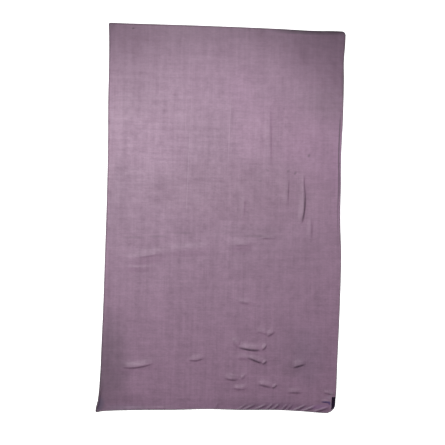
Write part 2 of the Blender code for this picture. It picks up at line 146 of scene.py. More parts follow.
# Creases: the crest runs through three points, with a gentle flank on its left hand and a steep one on its
# right hand. The last rows are shallow ones that only the light shows
# the shade column is painted shade, darkening the silk just below each crest
foldRow = namedtuple("foldRow", "x0 y0 x1 y1 x2 y2 height gentle steep shade")
puckerRow = namedtuple("puckerRow", "foot run rise height")
rollShadeRow = namedtuple("rollShadeRow", "y inset shade")
creases = {
    "folds": [
        foldRow(-446, -706, -375, -708, -284, -682, 3.2, 31, 5, 0.3),
        foldRow(-132, -663, -100, -669, -52, -653, 2.3, 30, 5, 0.28),
        foldRow(-448, -212, -340, -186, -224, -163, 1.6, 34, 55, 0.0),
        foldRow(-382, -192, -332, -186, -288, -177, 0.6, 12, 7, 0.13),
        foldRow(-238, -165, -140, -149, -40, -144, 1.5, 32, 50, 0.0),
        foldRow(44, -123, 100, -125, 154, -123, 1.4, 28, 34, 0.0),
        foldRow(70, -124, 104, -124, 146, -124, 0.5, 12, 7, 0.1),
        foldRow(196, -90, 224, -89, 262, -90, 0.8, 16, 7, 0.18),
        foldRow(-440, -234, -372, -242, -280, -228, 0.7, 12, 26, 0.0),
        foldRow(95, -381, 120, -393, 156, -393, 1.2, 20, 12, 0.2),
        foldRow(182, -522, 208, -531, 236, -538, 1.4, 26, 11, 0.14),
        foldRow(228, -549, 248, -539, 270, -521, 1.7, 24, 8, 0.34),
        foldRow(76, -556, 86, -586, 104, -599, 2.0, 34, 14, 0.06),
        foldRow(88, -598, 152, -612, 211, -612, 2.9, 28, 6.5, 0.68),
        foldRow(207, -611, 220, -605, 230, -582, 2.2, 17, 6, 0.30),
        foldRow(137, -645, 182, -664, 220, -675, 2.9, 27, 6, 0.64),
        foldRow(90, -649, 122, -651, 158, -656, 1.3, 22, 14, 0.0),
        foldRow(210, -676, 222, -674, 233, -659, 2.1, 15, 5, 0.45),
        foldRow(353, -693, 384, -683, 418, -672, 2.8, 33, 6, 0.6),
        foldRow(33, -743, 72, -754, 107, -748, 2.7, 32, 7, 0.24),
        foldRow(108, -748, 123, -744, 135, -724, 1.5, 17, 8, 0.10),
        foldRow(76, -788, 110, -796, 148, -789, 2.6, 21, 9, 0.0),
        foldRow(191, -769, 230, -780, 267, -787, 2.9, 30, 7, 0.38),
        foldRow(259, -787, 272, -784, 286, -771, 1.8, 15, 5, 0.44),
        foldRow(329, -808, 366, -808, 407, -807, 2.1, 24, 6, 0.22),
        foldRow(500, -803, 526, -809, 554, -813, 2.2, 16, 5, 0.2),
        foldRow(490, -846, 518, -850, 544, -854, 2.0, 15, 4, 0.0),
        foldRow(227, 215, 225, 380, 217, 545, 0.9, 26, 8, 0.06),
        foldRow(311, 50, 313, 123, 315, 196, 1.0, 24, 6, 0.14),
        foldRow(375, -26, 391, 54, 388, 166, 2.2, 26, 6, 0.58),
        foldRow(389, 120, 386, 165, 384, 214, 1.1, 20, 7, 0.18),
        foldRow(425, -96, 426, -40, 424, 12, 0.9, 22, 7, 0.08),
        foldRow(107, -6, 110, 50, 113, 107, 0.8, 20, 8, 0.0),
        foldRow(-554, -908, -546, -868, -538, -792, 3.0, 11, 6, 0.2),
        foldRow(-528, -912, -332, -901, -130, -895, 1.2, 14, 5, 0.0),
    ],
    "puckers": [
        puckerRow(-4, 16, 36, 0.9), puckerRow(98, 50, 30, 1.2), puckerRow(122, 68, 30, 1.5),
        puckerRow(174, 68, 32, 1.7), puckerRow(228, 46, 38, 1.5), puckerRow(256, 46, 36, 1.6),
        puckerRow(302, 36, 36, 1.3), puckerRow(326, 34, 34, 1.2), puckerRow(354, 74, 34, 1.8),
        puckerRow(400, 74, 30, 1.9), puckerRow(456, 76, 24, 1.9),
    ],
    "rollShadeTable": [  # painted shade beside the rolled stretch of the right hem
        rollShadeRow(-70, 13.5, 0), rollShadeRow(-20, 13.5, 0.34), rollShadeRow(60, 13, 0.42),
        rollShadeRow(140, 10.5, 0.74), rollShadeRow(230, 10.8, 0.80), rollShadeRow(327, 12.8, 0.82),
        rollShadeRow(400, 13.6, 0.80), rollShadeRow(455, 13.6, 0.66), rollShadeRow(505, 13, 0),
    ],
    "rollShadeWidth": 5.5,
    "puckerFootY": -896,
    "puckerPlaces": [(-0.25, -0.3), (0.45, 0.35), (1, 1)],  # ends and middle, as shares of its run and rise
    "puckerGentle": 10,
    "puckerSteep": 6,
    "puckerShade": 0.19,  # painted shade, for each millimetre of its height
    "shadeWidth": 9.0,    # painted shade below a crest, this wide
    "shadeDrop": 2.0,
    "deepestShade": 0.92,
    "swellLonger": 0.42,  # a low swell runs on past both ends of each crease, by this share of its length
    "swellWider": 1.5,
    "swellShare": 0.24,   # of the crease's height
    "crestSteps": 16,
}


def allFolds():
    # the creases, the low swells that they rise from, and the puckers of the bottom hem
    made = list(creases["folds"])
    wider, longer = creases["swellWider"], creases["swellLonger"]
    for row in creases["folds"]:
        first, half, last = (np.array(row[i:i + 2], dtype=float) for i in (0, 2, 4))
        start = first + (first - half) * longer * 2
        end = last + (last - half) * longer * 2
        made.append(foldRow(*start, *half, *end, row.height * creases["swellShare"], row.gentle * wider,
                            row.gentle, 0))
    for row in creases["puckers"]:
        start, half, top = ((row.foot + row.run * x, creases["puckerFootY"] + row.rise * y)
                            for x, y in creases["puckerPlaces"])
        made.append(foldRow(*start, *half, *top, row.height, creases["puckerGentle"], creases["puckerSteep"],
                            creases["puckerShade"] * row.height))
    return made


def crestPoints(fold, steps):
    start, half, end = (np.array(fold[i:i + 2], dtype=float) for i in (0, 2, 4))
    control = 2 * half - (start + end) / 2
    t = np.linspace(0, 1, steps + 1)[:, None]
    return (1 - t)**2 * start + 2 * t * (1 - t) * control + t**2 * end


def lieOf(points, fold):
    # each point's distance to the gentle side of a crest, less than zero on its steep side, and its share of
    # the crease's fading ends
    steps = creases["crestSteps"]
    crest = crestPoints(fold, steps)
    run = np.diff(crest, axis=0)
    offset = points[:, None, :] - crest[None, :-1, :]
    share = np.clip((offset * run).sum(2) / (run * run).sum(1), 0, 1)
    gap = offset - share[..., None] * run
    distance = np.hypot(gap[..., 0], gap[..., 1])
    near = distance.argmin(1)
    rows = np.arange(len(points))
    side = run[near, 0] * offset[rows, near, 1] - run[near, 1] * offset[rows, near, 0]
    along = (near + share[rows, near]) / steps
    fade = (1 - np.abs(2 * along - 1)**3)**2
    return np.where(side > 0, 1, -1) * distance[rows, near], fade


def creaseSum(points, ofOneFold):
    # adds up what each crease does to the points near it
    total = np.zeros(len(points))
    for fold in allFolds():
        crest = crestPoints(fold, creases["crestSteps"])
        reach = max(fold.gentle, fold.steep, creases["shadeWidth"] + creases["shadeDrop"])
        near = ((points > crest.min(0) - reach) & (points < crest.max(0) + reach)).all(1)
        if near.any():
            total[near] += ofOneFold(points[near], fold)
    return total


def liftOf(points, fold):
    across, fade = lieOf(points, fold)
    share = np.clip(np.abs(across) / np.where(across > 0, fold.gentle, fold.steep), 0, 1)
    return fold.height * fade * (1 - share**2)**2


# painted shade just below one crease's crest
def shadeOf(points, fold):
    across, fade = lieOf(points, fold)
    share = np.clip((across + creases["shadeDrop"]) / creases["shadeWidth"], -1, 1)
    return fold.shade * fade * (1 - share**2)**2


def relief(points):
    # height of the cloth over its flat lie
    return creaseSum(points, liftOf)


def rollShade(points):
    # painted shade along the right side, beside the stretch of its hem that has rolled up
    y, inset, shade = np.array(creases["rollShadeTable"], dtype=float).T
    rim = rimPoints(1, cloth["coarseStep"], 0)
    gap = np.interp(points[:, 1], rim[:, 1], rim[:, 0]) - points[:, 0]
    share = np.clip((gap - np.interp(points[:, 1], y, inset)) / creases["rollShadeWidth"], -1, 1)
    return np.interp(points[:, 1], y, shade) * (1 - share**2)**2


def foldShade(points):
    # painted shade of the creases and of the rolled hem, from 0 on open cloth to nearly 1 where darkest
    return np.clip(creaseSum(points, shadeOf) + rollShade(points), 0, creases["deepestShade"])


# The silk: one thin sheet, its mesh close on the creases and wider apart between them
silkSheet = {
    "rimStep": 6,
    "latticeStep": 13.5,
    "latticeRise": 0.87,  # from row to row, as a share of the step
    "latticeMargin": 4,   # to the edge of the sheet
    "latticeClearance": 6.5,
    "foldStep": 4.5,
    "foldSteps": 4,       # at the least, along the shortest creases
    "foldMargin": 2,
    "foldClearance": 0.9,
    "planTolerance": 0.00001,
    "gentleRows": (1.15, 1, 0.85, 0.7, 0.56, 0.43, 0.31, 0.2, 0.1),
    "steepRows": (0.12, 0.26, 0.42, 0.6, 0.8, 1, 1.35, 1.8),
    "besideRoll": (7.5, 9.5, 11.5, 13.5, 15.5, 18),
    "rollMiddleY": 217,
    "rollHalfLength": 290,
    "supportInset": 0.8,  # a second loop just inside the edge keeps the top's shading flat
    "swells": [  # height, reach, turn and phase
        (0.26, 410, 0.4, 0.9), (0.18, 260, 1.9, 2.1), (0.12, 133, 1.1, 0.3), (0.08, 88, 2.7, 1.6),
    ],
    "swellStretch": 1.7,
    "swellBend": 0.8,
    "swellCross": 0.7,
}


def swell(points):
    # very low, wide waves that keep the laid cloth from looking like glass
    x, y = points[:, 0], points[:, 1]
    total = np.zeros(len(points))
    for height, reach, turn, phase in silkSheet["swells"]:
        a = (x * math.cos(turn) + y * math.sin(turn)) / reach * math.tau
        b = (y * math.cos(turn) - x * math.sin(turn)) / (reach * silkSheet["swellStretch"]) * math.tau
        bent = np.sin(a + phase + silkSheet["swellBend"] * np.sin(b))
        total += height * bent * np.cos(b * silkSheet["swellCross"] + phase)
    return total


def insideRim(points, inset):
    # which points lie inside all four sides, moved inward
    bottom, right, top, left = (rimPoints(i, cloth["coarseStep"], inset) for i in range(4))
    x, y = points.T
    insideX = (x > np.interp(y, left[::-1, 1], left[::-1, 0])) & (x < np.interp(y, right[:, 1], right[:, 0]))
    insideY = (y > np.interp(x, bottom[:, 0], bottom[:, 1])) & (y < np.interp(x, top[::-1, 0], top[::-1, 1]))
    return insideX & insideY


def thinned(points, kept, clearance):
    # adds the points that are clear of those already kept and of each other
    cells = {}
    chosen = list(kept)

    def cellOf(point):
        return int(point[0] // clearance), int(point[1] // clearance)

    for point in kept:
        cells.setdefault(cellOf(point), []).append(point)
    for point in points:
        i, j = cellOf(point)
        around = [q for a in (i - 1, i, i + 1) for b in (j - 1, j, j + 1) for q in cells.get((a, b), ())]
        if all((q[0] - point[0])**2 + (q[1] - point[1])**2 > clearance**2 for q in around):
            chosen.append(point)
            cells.setdefault((i, j), []).append(point)
    return chosen


def foldRows(fold):
    # points in rows along a crease's crest and both of its flanks
    length = np.hypot(fold.x2 - fold.x0, fold.y2 - fold.y0)
    crest = crestPoints(fold, max(silkSheet["foldSteps"], round(length / silkSheet["foldStep"])))
    tangent = np.gradient(crest, axis=0)
    left = np.stack((-tangent[:, 1], tangent[:, 0]), 1) / np.hypot(*tangent.T)[:, None]
    reaches = [0.0] + [share * fold.gentle for share in reversed(silkSheet["gentleRows"])]
    reaches += [-share * fold.steep for share in silkSheet["steepRows"]]
    return np.concatenate([crest + left * reach for reach in reaches])


def newPiece(name, vertices, faces):
    mesh = bpy.data.meshes.new(name)
    mesh.from_pydata([tuple(v) for v in vertices], [], [tuple(f) for f in faces])
    mesh.shade_smooth()
    made = bpy.data.objects.new(name, mesh)
    bpy.context.scene.collection.objects.link(made)
    return made


def clothMap(piece):
    # the piece's own map: metres across and along the cloth, so the weave runs with the silk
    layer = piece.data.uv_layers.new(name="clothMap")
    corners = np.empty(len(piece.data.loops), dtype=np.int32)
    piece.data.loops.foreach_get("vertex_index", corners)
    places = np.empty(len(piece.data.vertices) * 3)
    piece.data.vertices.foreach_get("co", places)
    layer.data.foreach_set("uv", places.reshape(-1, 3)[corners, :2].astype(np.float32).ravel())


def applyModifier(piece, kind, **values):
    bpy.ops.object.select_all(action="DESELECT")
    piece.select_set(True)
    bpy.context.view_layer.objects.active = piece
    modifier = piece.modifiers.new(kind.title(), kind)
    for key, value in values.items():
        setattr(modifier, key, value)
    bpy.ops.object.modifier_apply(modifier=modifier.name)


def onFrame(flat, heights):
    # from the tables' millimetres to the frame's metres
    return np.column_stack((flat - middle, heights)) * mm


def latticePoints(low, high):
    # rows of points over the open cloth, every second row half a step along
    step = silkSheet["latticeStep"]
    rows = []
    for n, y in enumerate(np.arange(low[1] + step / 2, high[1], step * silkSheet["latticeRise"])):
        xs = np.arange(low[0] + step / 2 + step / 2 * (n % 2), high[0], step)
        rows.append(np.column_stack((xs, np.full(len(xs), y))))
    return np.concatenate(rows)


def makeSilkSheet():
    inset = cloth["hemWidth"] - cloth["hemTuck"]
    loop, support = (np.concatenate([rimPoints(i, silkSheet["rimStep"], inset + more)[:-1] for i in range(4)])
                     for more in (0, silkSheet["supportInset"]))
    rows = np.concatenate([foldRows(fold) for fold in allFolds()])
    rows = rows[insideRim(rows, inset + silkSheet["foldMargin"])]
    lattice = latticePoints(loop.min(0), loop.max(0))
    lattice = lattice[insideRim(lattice, inset + silkSheet["latticeMargin"])]
    beside = np.concatenate([rimPoints(1, silkSheet["rimStep"], more) for more in silkSheet["besideRoll"]])
    nearRoll = np.abs(beside[:, 1] - silkSheet["rollMiddleY"]) < silkSheet["rollHalfLength"]
    rows = np.concatenate((rows, beside[nearRoll]))
    plan = thinned(rows, [*loop, *support], silkSheet["foldClearance"])
    plan = thinned(lattice, plan, silkSheet["latticeClearance"])
    outline = list(range(len(loop)))
    plan = [tuple(point) for point in plan]
    coords, _, faces, *_ = delaunay_2d_cdt(plan, [], [outline], 1, silkSheet["planTolerance"])
    flat = np.array([tuple(p) for p in coords])
    heights = cloth["wall"] + relief(flat) + swell(flat)
    sheet = newPiece("silkSheet", onFrame(flat, heights), faces)
    applyModifier(sheet, "SOLIDIFY", thickness=cloth["thickness"] * mm, offset=-1)
    clothMap(sheet)
    # painted shade of the creases and the rolled hem, kept on the points
    shade = foldShade(np.array([v.co[:2] for v in sheet.data.vertices]) / mm + middle)
    layer = sheet.data.attributes.new("foldShade", "FLOAT", "POINT")
    layer.data.foreach_set("value", shade.astype(np.float32))
    print("silk sheet:", len(sheet.data.polygons), "faces")
    return sheet


# The hems: silk turned over and stitched down, thicker where it has rolled up
hem = {
    "step": 3,
    "section": [  # share of the width in from the rim, share of the height
        (0.00, 0.30), (0.01, 0.50), (0.05, 0.70), (0.12, 0.86), (0.22, 0.97), (0.35, 1.00), (0.50, 0.97),
        (0.64, 0.90), (0.74, 0.80), (0.80, 0.70), (0.86, 0.73), (0.92, 0.74), (0.97, 0.66), (1.00, 0.50),
        (1.00, 0.30), (0.96, 0.12), (0.50, 0.06), (0.06, 0.06), (0.01, 0.14),
    ],
    "topRows": 14,        # of the section's rows, those of the upper face
    "names": ["bottomHem", "rightHem", "topHem", "leftHem"],
    "tintWidths": (0, 0.15, 0.35, 0.6, 0.75, 1),
    "plainTints": [(0.79, 1.03, 0.83), (0.82, 1.06, 0.86), (0.88, 1.10, 0.92), (0.94, 1.12, 0.96),
                   (0.96, 1.08, 0.96), (0.93, 1.00, 0.93)],
    # painted highlight on the outer part of the rolled stretch, painted shade inside it
    "rolledHighlightAndShade": [(1.00, 1.28, 1.07), (1.03, 1.31, 1.10), (1.01, 1.25, 1.08), (0.96, 1.12, 1.00),
                    (0.84, 0.90, 0.88), (0.71, 0.71, 0.74)],
    # painted shade at the pulled corner
    "earShade": 0.62,
    "earReach": 45,
    "rollShares": (0, 0.45, 0.52, 0.72, 0.79, 1),
    "rollFactors": (1, 1, 1.6, 1.6, 1, 1),
    "rolledFrom": 1.1,    # height factor at which the painted highlight and shade of the rolled stretch begin
    "rolledOver": 0.4,    # and the further rise that makes them full
    "ropeWaves": [(13.7, 0.02), (31.0, 0.03), (83.0, 0.05)],  # wavelength, share of the height
    "ropePhase": 1.3,     # from side to side
}


def sideDistance(points):
    return np.concatenate(([0], np.cumsum(np.hypot(*np.diff(points, axis=0).T))))


def hemHeights(index, rim, width):
    # height factor along a hem at one place across it: the roll, and the slight rope that sewing gives
    distance = sideDistance(rim)
    factor = np.ones(len(rim))
    if cloth["sides"][index] == "hem_right":
        factor = np.interp(distance / distance[-1], hem["rollShares"], hem["rollFactors"])
    slant = width * cloth["hemWidth"]
    for wave, share in hem["ropeWaves"]:
        turned = (distance + slant) / wave * math.tau + index * hem["ropePhase"]
        factor = factor * (1 + share * np.sin(turned))
    return factor


def hemTopAt(inset):
    # plain height of the hem's top, or of the silk beyond it, at a distance in from the rim
    width, height = zip(*hem["section"][:hem["topRows"]])
    shape = np.interp(np.asarray(inset) / cloth["hemWidth"], width, height) * cloth["hemHeight"]
    return np.where(np.asarray(inset) > cloth["hemWidth"], cloth["wall"], shape)


def rimTintAndShading(index, rim, flat, width):
    # the hem's tint: a deep grey at the rim, painted highlight and shade on the rolled stretch,
    # painted shade at the pulled corner and below the creases
    rolled = np.clip((hemHeights(index, rim, width) - hem["rolledFrom"]) / hem["rolledOver"], 0, 1)[:, None]
    plain, over = (np.array([np.interp(width, hem["tintWidths"], channel) for channel in zip(*hem[name])])
                   for name in ("plainTints", "rolledHighlightAndShade"))
    ear = np.hypot(*(rim - cornerPoint(0)).T)[:, None]
    earShade = 1 - (1 - hem["earShade"]) * np.clip(1 - (ear / hem["earReach"])**2, 0, 1)
    tint = (plain + (over - plain) * rolled) * earShade * (1 - foldShade(flat) * width)[:, None]
    return np.column_stack((tint, np.ones(len(tint))))


def makeHem(index):
    rim = rimPoints(index, hem["step"], 0)
    inward = rimPoints(index, hem["step"], 1) - rim
    rings, tints = [], []
    for width, height in hem["section"]:
        flat = rim + inward * width * cloth["hemWidth"]
        top = height * cloth["hemHeight"] * hemHeights(index, rim, width)
        rings.append(onFrame(flat, top + relief(flat)))
        tints.append(rimTintAndShading(index, rim, flat, width))
    vertices = np.stack(rings, 1)
    count, around = vertices.shape[:2]
    faces = []
    for i in range(count - 1):
        for j in range(around):
            k = (j + 1) % around
            faces.append((i * around + j, (i + 1) * around + j, (i + 1) * around + k, i * around + k))
    faces.append(list(range(around)))
    faces.append([(count - 1) * around + j for j in reversed(range(around))])
    made = newPiece(hem["names"][index], vertices.reshape(-1, 3), faces)
    clothMap(made)
    tint = made.data.attributes.new("rimTintAndShading", "FLOAT_COLOR", "POINT")
    tint.data.foreach_set("color", np.stack(tints, 1).astype(np.float32).ravel())
    return made


# Thread: one stitch, copied along each hem near its inner fold
thread = {
    "pitch": 3.1,
    "length": 2.3,
    "radius": 0.19,
    "sides": 6,
    "middleSwell": 1.25,
    "inset": 5.7,
    "sink": 0.05,
    "slant": 0.10,
    "otherSlant": 0.6,    # of every second stitch, as a share
    "pathStep": 2,
    "names": ["bottomStitches", "rightStitches", "topStitches", "leftStitches"],
}


def makeStitch():
    # a short barrel along X, a little thicker in the middle
    bpy.ops.object.select_all(action="DESELECT")
    bpy.ops.mesh.primitive_cylinder_add(
        vertices=thread["sides"], radius=thread["radius"] * mm, depth=thread["length"] * mm,
        rotation=(0, math.pi / 2, 0))
    stitch = bpy.context.object
    bpy.ops.object.transform_apply(location=True, rotation=True, scale=True)
    bpy.ops.object.mode_set(mode="EDIT")
    bpy.ops.mesh.select_all(action="SELECT")
    bpy.ops.mesh.bisect(plane_co=(0, 0, 0), plane_no=(1, 0, 0))
    swellBy = thread["middleSwell"]
    bpy.ops.transform.resize(value=(1, swellBy, swellBy))
    bpy.ops.object.mode_set(mode="OBJECT")
    vertices = np.array([v.co[:] for v in stitch.data.vertices])
    faces = [tuple(p.vertices) for p in stitch.data.polygons]
    bpy.data.objects.remove(stitch, do_unlink=True)
    return vertices, faces


def stitchRun(name, centres, headings, tilt):
    # one mesh of stitches, each turned to its heading and laid on its slope
    vertices, faces = makeStitch()
    allVertices, allFaces = [], []
    for centre, heading, slope in zip(centres, headings, tilt):
        across = np.array((-heading[1], heading[0], 0.0))
        along = np.array((heading[0], heading[1], slope))
        along /= np.linalg.norm(along)
        up = np.cross(along, across)
        start = len(allVertices) * len(vertices)
        allVertices.append(centre + vertices @ np.array((along, across, up)))
        allFaces += [tuple(start + i for i in face) for face in faces]
    made = newPiece(name, np.concatenate(allVertices), allFaces)
    clothMap(made)
    return made


def stitchLine(index, inset, lift):
    # centres, headings and slopes of stitches at one distance in from a side's rim
    fine = rimPoints(index, thread["pathStep"], inset)
    rim = rimPoints(index, thread["pathStep"], 0)
    top = hemTopAt(inset) * hemHeights(index, rim, inset / cloth["hemWidth"]) + relief(fine) + lift
    path = np.column_stack((fine, top))
    distance = sideDistance(fine)
    marks = np.arange(thread["pitch"], distance[-1] - thread["pitch"], thread["pitch"])
    centres = np.column_stack([np.interp(marks, distance, path[:, k]) for k in range(3)])
    ends = np.column_stack([np.interp(marks + 1, distance, path[:, k]) for k in range(3)])
    run = ends - centres
    size = np.hypot(run[:, 0], run[:, 1])[:, None]
    heading = run[:, :2] / size
    slant = thread["slant"] * np.where(np.arange(len(marks)) % 2, 1, thread["otherSlant"])
    heading = heading + np.column_stack((-heading[:, 1], heading[:, 0])) * slant[:, None]
    heading /= np.hypot(*heading.T)[:, None]
    return centres, heading, run[:, 2] / size[:, 0]


def makeHemStitches(index):
    centres, headings, slopes = stitchLine(index, thread["inset"], -thread["sink"])
    keep = ~underLabel(centres)
    places = onFrame(centres[keep, :2], centres[keep, 2])
    return stitchRun(thread["names"][index], places, headings[keep], slopes[keep])


# The care label, sewn down over the right hem
label = {
    "innerBottomX": 539,
    "innerTopX": 542,
    "rimMargin": 1.0,
    "rimStep": 2,
    "rimRows": 60,        # of the right side's rim points, those beside the label
    "bottom": -881,
    "top": -825.5,
    "clearance": 0.3,
    "thickness": 0.6,
    "rows": 56,
    "columns": 20,
    "hemMargin": 1,       # the hem's own stitches stop this far from the label
    "tackInset": 4.2,
    "tackMargin": 2,
}


def labelInner(y):
    # the label's inner edge, which leans a little
    return np.interp(y, (label["bottom"], label["top"]), (label["innerBottomX"], label["innerTopX"]))


def underLabel(centres):
    x, y = centres[:, 0], centres[:, 1]
    margin = label["hemMargin"]
    return (x > labelInner(y) - margin) & (y > label["bottom"] - margin) & (y < label["top"] + margin)


def labelHeight(flat):
    # the label's underside, clear of the hem and the silk that it lies on
    rim = rimPoints(1, label["rimStep"], 0)[:label["rimRows"]]
    gap = np.hypot(flat[:, None, 0] - rim[None, :, 0], flat[:, None, 1] - rim[None, :, 1]).min(1)
    return hemTopAt(gap) + relief(flat) + label["clearance"]


def makeLabel():
    # a grid, fitted between the label's inner edge and the rounded rim
    bpy.ops.object.select_all(action="DESELECT")
    bpy.ops.mesh.primitive_grid_add(x_subdivisions=label["columns"], y_subdivisions=label["rows"], size=1)
    tape = bpy.context.object
    tape.name = tape.data.name = "careLabel"
    grid = np.array([v.co[:2] for v in tape.data.vertices]) + 0.5
    y = label["bottom"] + (label["top"] - label["bottom"]) * grid[:, 1]
    line = rimPoints(1, label["rimStep"], label["rimMargin"])[:label["rimRows"]]
    outer = np.interp(y, line[:, 1], line[:, 0])
    x = labelInner(y) + (outer - labelInner(y)) * grid[:, 0]
    flat = np.column_stack((x, y))
    top = labelHeight(flat) + label["thickness"]
    for vertex, place in zip(tape.data.vertices, onFrame(flat, top)):
        vertex.co = place
    applyModifier(tape, "SOLIDIFY", thickness=label["thickness"] * mm, offset=-1)
    tape.data.shade_smooth()
    clothMap(tape)
    return tape


def makeLabelStitches():
    # the row of black thread that holds the label to the hem
    centres, headings, slopes = stitchLine(1, label["tackInset"], 0)
    y, margin = centres[:, 1], label["tackMargin"]
    on = underLabel(centres) & (y > label["bottom"] + margin) & (y < label["top"] - margin)
    heights = labelHeight(centres[on, :2]) + label["thickness"]
    return stitchRun("labelStitches", onFrame(centres[on, :2], heights), headings[on], slopes[on])


# Shader groups: silk's yarns, and the ovals of its marks and of its painted light and shade. Each noise has
# its scale across, along and through the cloth, and its shares of the colour and of the bump
noiseRow = namedtuple("noiseRow", "scale detail roughness tone height")
yarnNoise = {
    "warp": noiseRow((42, 1.8, 1), 3.0, 0.75, 0.95, 1.2),
    "weft": noiseRow((4.0, 46, 1), 3.0, 0.75, 0.85, 0.9),
    "mottle": noiseRow((60, 130, 1), 3.0, 0.6, 0.8, 1.5),
    "blotch": noiseRow((34, 30, 1), 2.0, 0.5, 0.75, 0),
    "cloud": noiseRow((9, 7, 1), 2.0, 0.5, 0.7, 0),
}
yarnShare = {
    "pitch": 0.0004,
    "slub": 1.19,
    "toneStart": -2.02,   # brings the noises' sum to nothing on the average
    "slubByLength": -0.24,
    "weaveHeight": 0.35,
}


def newGroup(name, sockets):
    tree = bpy.data.node_groups.new(name, "ShaderNodeTree")
    for socketName, direction, kind, value in sockets:
        kind = "NodeSocket" + kind
        socket = tree.interface.new_socket(name=socketName, in_out=direction, socket_type=kind)
        if value is not None:
            socket.default_value = value
    return tree, tree.nodes.new("NodeGroupInput").outputs, tree.nodes.new("NodeGroupOutput").inputs


def addMath(tree, operation, a, b=None, c=None):
    node = tree.nodes.new("ShaderNodeMath")
    node.operation = operation
    for socket, value in zip(node.inputs, (a, b, c)):
        if value is None:
            continue
        if isinstance(value, bpy.types.NodeSocket):
            tree.links.new(value, socket)
        else:
            socket.default_value = value
    return node.outputs[0]


def addNoise(tree, vector, scale, detail=2.0, roughness=0.5):
    # noise stretched by a different scale on each axis, from 0 to 1
    mapping = tree.nodes.new("ShaderNodeMapping")
    mapping.inputs["Scale"].default_value = scale
    tree.links.new(vector, mapping.inputs["Vector"])
    noise = tree.nodes.new("ShaderNodeTexNoise")
    noise.inputs["Scale"].default_value = 1.0
    noise.inputs["Detail"].default_value = detail
    noise.inputs["Roughness"].default_value = roughness
    tree.links.new(mapping.outputs["Vector"], noise.inputs["Vector"])
    return noise.outputs["Fac"]


def addMix(tree, amount, a, b, blend="MIX"):
    node = tree.nodes.new("ShaderNodeMix")
    node.data_type = "RGBA"
    node.blend_type = blend
    sockets = (node.inputs["Factor"], node.inputs[6], node.inputs[7])  # 6, 7 and output 2 are the colours
    for socket, value in zip(sockets, (amount, a, b)):
        if isinstance(value, bpy.types.NodeSocket):
            tree.links.new(value, socket)
        else:
            socket.default_value = value
    return node.outputs[2]


def silkYarnGroup():
    # uneven yarns: long slubs both ways, soft crepe mottling, and the plain weave itself
    tree, given, made = newGroup("silkYarn", [
        ("Vector", "INPUT", "Vector", None),
        ("Pitch", "INPUT", "Float", yarnShare["pitch"]),
        ("Slub", "INPUT", "Float", yarnShare["slub"]),
        ("Tone", "OUTPUT", "Float", None),
        ("Height", "OUTPUT", "Float", None),
    ])
    vector = given["Vector"]
    noises = {name: addNoise(tree, vector, row.scale, row.detail, row.roughness)
              for name, row in yarnNoise.items()}
    tone = yarnShare["toneStart"]
    for name, row in yarnNoise.items():
        tone = addMath(tree, "MULTIPLY_ADD", noises[name], row.tone, tone)
    split = tree.nodes.new("ShaderNodeSeparateXYZ")
    tree.links.new(vector, split.inputs[0])
    gain = addMath(tree, "MULTIPLY_ADD", split.outputs["Y"], yarnShare["slubByLength"], given["Slub"])
    tree.links.new(addMath(tree, "MULTIPLY", tone, gain), made["Tone"])
    turn = addMath(tree, "DIVIDE", math.pi, given["Pitch"])
    across = addMath(tree, "SINE", addMath(tree, "MULTIPLY", split.outputs["X"], turn))
    along = addMath(tree, "SINE", addMath(tree, "MULTIPLY", split.outputs["Y"], turn))
    weave = addMath(tree, "MULTIPLY", across, along)
    height = addMath(tree, "MULTIPLY", weave, yarnShare["weaveHeight"])
    for name in ("warp", "weft", "mottle"):
        height = addMath(tree, "MULTIPLY_ADD", noises[name], yarnNoise[name].height, height)
    tree.links.new(height, made["Height"])
    return tree


def markAndShadingGroup():
    # one soft oval mask on the cloth, at a place in the piece's own map, for marks and for painted light and
    # shade
    tree, given, made = newGroup("markAndShadingOval", [
        ("Vector", "INPUT", "Vector", None),
        ("X", "INPUT", "Float", 0.0),
        ("Y", "INPUT", "Float", 0.0),
        ("Turn", "INPUT", "Float", 0.0),
        ("Half Length", "INPUT", "Float", 0.01),
        ("Half Width", "INPUT", "Float", 0.003),
        ("Mask", "OUTPUT", "Float", None),
    ])
    split = tree.nodes.new("ShaderNodeSeparateXYZ")
    tree.links.new(given["Vector"], split.inputs[0])
    x = addMath(tree, "SUBTRACT", split.outputs["X"], given["X"])
    y = addMath(tree, "SUBTRACT", split.outputs["Y"], given["Y"])
    cosine, sine = addMath(tree, "COSINE", given["Turn"]), addMath(tree, "SINE", given["Turn"])
    xCosine, ySine = addMath(tree, "MULTIPLY", x, cosine), addMath(tree, "MULTIPLY", y, sine)
    yCosine, xSine = addMath(tree, "MULTIPLY", y, cosine), addMath(tree, "MULTIPLY", x, sine)
    along = addMath(tree, "DIVIDE", addMath(tree, "ADD", xCosine, ySine), given["Half Length"])
    across = addMath(tree, "DIVIDE", addMath(tree, "SUBTRACT", yCosine, xSine), given["Half Width"])
    acrossSquare = addMath(tree, "MULTIPLY", across, across)
    squares = addMath(tree, "MULTIPLY_ADD", along, along, acrossSquare)
    falling = addMath(tree, "MAXIMUM", addMath(tree, "SUBTRACT", 1.0, squares), 0.0)  # then a smooth step
    steeper = addMath(tree, "MULTIPLY_ADD", falling, -2.0, 3.0)
    square = addMath(tree, "MULTIPLY", falling, falling)
    tree.links.new(addMath(tree, "MULTIPLY", square, steeper), made["Mask"])
    return tree


def mapVector(tree):
    node = tree.nodes.new("ShaderNodeUVMap")
    node.uv_map = "clothMap"
    return node.outputs["UV"]


def addGroup(tree, group, **values):
    node = tree.nodes.new("ShaderNodeGroup")
    node.node_tree = group
    for key, value in values.items():
        socket = node.inputs[key.replace("_", " ")]
        if isinstance(value, bpy.types.NodeSocket):
            tree.links.new(value, socket)
        else:
            socket.default_value = value
    return node.outputs


